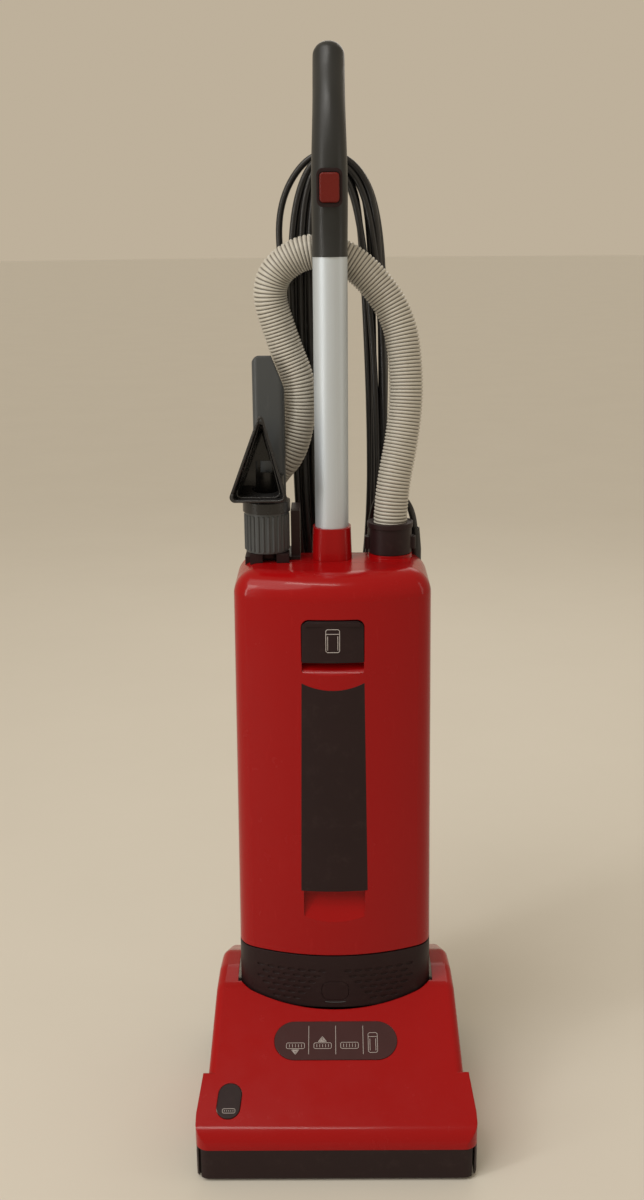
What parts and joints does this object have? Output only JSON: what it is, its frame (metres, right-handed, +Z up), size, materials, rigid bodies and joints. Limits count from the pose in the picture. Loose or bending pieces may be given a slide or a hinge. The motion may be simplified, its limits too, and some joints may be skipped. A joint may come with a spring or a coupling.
{
  "type": "upright vacuum cleaner",
  "caption": "Upright vacuum cleaner: broad powered floor head, tall bag body with door and exhaust filter, tubular handle, stretch hose, wand and tools at the back, coiled mains cord.",
  "frame": {"origin": "centre of the footprint box on the floor, measured without the mains cord", "axes": "+Z up, -Y towards the front of the floor head, +X towards the hose cuff's side"},
  "size_m": [0.31, 0.33, 1.1999],
  "materials": {
    "red_gloss": "glossy",
    "dark_plastic": "fine satin grain",
    "blue_grey_plastic": "satin",
    "lens_dark": "glossy, tinted",
    "board_green": "satin",
    "satin_tube": "satin anodised",
    "steel": "turned",
    "motor_metal": "satin",
    "hose_grey": "satin",
    "cord_black": "satin",
    "rubber_black": "matte",
    "wheel_grey": "satin",
    "bristle_black": "matte",
    "filter_white": "felt",
    "bag_paper": "filter fleece"
  },
  "bodies": {
    "floor_head": {"head_cover": "red_gloss", "front_bumper": "dark_plastic", "sole_plate": "dark_plastic", "sole_screws": "steel", "head_chassis": "dark_plastic", "suction_duct": "dark_plastic", "height_gearmotor": "steel", "indicator_lens": "lens_dark", "indicator_board": "board_green", "drive_belt": "rubber_black", "axle_hubs": "dark_plastic"},
    "vacuum_body": {"motor_housing": "dark_plastic", "motor_casing": "motor_metal", "exhaust_filter": "filter_white", "rear_housing": "red_gloss", "door_seal": "rubber_black", "dust_bag": "bag_paper", "bag_holder": "dark_plastic", "premotor_filter": "filter_white", "rear_duct": "dark_plastic", "exhaust_filter_cover": "dark_plastic", "hose": "hose_grey", "handle_tube": "satin_tube", "tube_collar": "red_gloss", "handle_grip": "blue_grey_plastic", "switch_bezel": "dark_plastic", "cable_hook_lower": "dark_plastic", "hose_hook": "dark_plastic", "tool_holder": "dark_plastic", "strain_relief": "cord_black", "cord_ends": "cord_black", "cord_hank": "cord_black", "plug": "cord_black"},
    "left_wheel": {"wheel_left": "wheel_grey", "tyre_left": "rubber_black"},
    "right_wheel": {"wheel_right": "wheel_grey", "tyre_right": "rubber_black"},
    "roller_end_block": {"end_block": "dark_plastic"},
    "brush_roller": {"brush_core": "wheel_grey", "brush_bristles": "bristle_black"},
    "brush_drive": {"drive_pulley": "dark_plastic"},
    "motor_armature": {"motor_rotor": "steel", "motor_fan": "dark_plastic", "motor_pulley": "steel"},
    "release_button": {"roller_release_button": "dark_plastic"},
    "pedal": {"foot_pedal": "dark_plastic"},
    "height_adjuster": {"height_carriage": "dark_plastic"},
    "glide_rollers": {"front_rollers": "wheel_grey"},
    "filter_button": {"filter_cover_button": "dark_plastic"},
    "door": {"bag_door": "red_gloss", "door_strip": "dark_plastic"},
    "latch": {"door_latch": "dark_plastic"},
    "switch_rocker": {"power_switch": "red_gloss"},
    "upper_hook": {"cable_hook_upper": "dark_plastic"},
    "cuff": {"hose_cuff": "dark_plastic"},
    "suction_wand": {"wand": "satin_tube", "wand_handle": "dark_plastic"},
    "upholstery_tool": {"upholstery_nozzle": "dark_plastic", "ribbed_collar": "blue_grey_plastic"},
    "crevice_tool": {"crevice_nozzle": "blue_grey_plastic"}
  },
  "joints": [
    {"name": "body_recline", "type": "hinge", "parent": "floor_head", "child": "vacuum_body", "pos_m": [0, 0.09, 0.06], "axis": [-1, 0, 0], "range_deg": [0, 80]},
    {"name": "left_wheel_spin", "type": "hinge", "parent": "floor_head", "child": "left_wheel", "pos_m": [-0.13, 0.09, 0.06], "axis": [1, 0, 0], "continuous": true},
    {"name": "right_wheel_spin", "type": "hinge", "parent": "floor_head", "child": "right_wheel", "pos_m": [0.13, 0.09, 0.06], "axis": [1, 0, 0], "continuous": true},
    {"name": "roller_withdraw", "type": "slide", "parent": "floor_head", "child": "roller_end_block", "axis": [-1, 0, 0], "range_m": [0, 0.27]},
    {"name": "brush_spin", "type": "hinge", "parent": "roller_end_block", "child": "brush_roller", "pos_m": [0, -0.126, 0.031], "axis": [1, 0, 0], "continuous": true},
    {"name": "drive_pulley_spin", "type": "hinge", "parent": "floor_head", "child": "brush_drive", "pos_m": [0.1, -0.126, 0.031], "axis": [1, 0, 0], "continuous": true},
    {"name": "motor_spin", "type": "hinge", "parent": "vacuum_body", "child": "motor_armature", "pos_m": [0, 0.09, 0.06], "axis": [1, 0, 0], "continuous": true},
    {"name": "release_button_press", "type": "slide", "parent": "floor_head", "child": "release_button", "axis": [0, 0.4709, -0.8822], "range_m": [0, 0.003], "stiffness_N_per_m": 300},
    {"name": "pedal_press", "type": "hinge", "parent": "floor_head", "child": "pedal", "pos_m": [0.109, 0.119, 0.032], "axis": [-1, 0, 0], "range_deg": [0, 12], "stiffness_Nm_per_rad": 2, "springref_deg": -5.73},
    {"name": "height_adjust", "type": "slide", "parent": "floor_head", "child": "height_adjuster", "axis": [0, 0, 1], "range_m": [0, 0.006]},
    {"name": "front_roller_spin", "type": "hinge", "parent": "height_adjuster", "child": "glide_rollers", "pos_m": [0, -0.074, 0.0126], "axis": [1, 0, 0], "continuous": true},
    {"name": "filter_button_press", "type": "slide", "parent": "vacuum_body", "child": "filter_button", "axis": [0, 1, 0], "range_m": [0, 0.003], "stiffness_N_per_m": 300},
    {"name": "door_hinge", "type": "hinge", "parent": "vacuum_body", "child": "door", "pos_m": [0, -0.0275, 0.197], "axis": [1, 0, 0], "range_deg": [0, 40]},
    {"name": "door_latch_pull", "type": "hinge", "parent": "door", "child": "latch", "pos_m": [0, -0.0184, 0.5972], "axis": [-1, 0, 0], "range_deg": [0, 9], "stiffness_Nm_per_rad": 0.3},
    {"name": "power_rocker", "type": "hinge", "parent": "vacuum_body", "child": "switch_rocker", "pos_m": [0, 0.0518, 1.05], "axis": [1, 0, 0], "range_deg": [0, 5]},
    {"name": "cable_hook_turn", "type": "hinge", "parent": "vacuum_body", "child": "upper_hook", "pos_m": [0, 0.12, 1.062], "axis": [0, 1, 0], "range_deg": [0, 180]},
    {"name": "hose_cuff_swivel", "type": "hinge", "parent": "vacuum_body", "child": "cuff", "pos_m": [0.066, 0.078, 0.67], "axis": [0, 0, 1], "continuous": true},
    {"name": "wand_lift", "type": "slide", "parent": "vacuum_body", "child": "suction_wand", "axis": [0, 0, 1], "range_m": [0, 0.12], "deforming": ["hose"]},
    {"name": "upholstery_tool_lift", "type": "slide", "parent": "vacuum_body", "child": "upholstery_tool", "axis": [0, 0, 1], "range_m": [0, 0.06]},
    {"name": "crevice_tool_lift", "type": "slide", "parent": "vacuum_body", "child": "crevice_tool", "axis": [0, 0, 1], "range_m": [0, 0.018]}
  ],
  "couplings": [
    {"joint": "drive_pulley_spin", "follows": "motor_spin", "ratio": 0.6667},
    {"joint": "brush_spin", "follows": "motor_spin", "ratio": 0.6667}
  ]
}
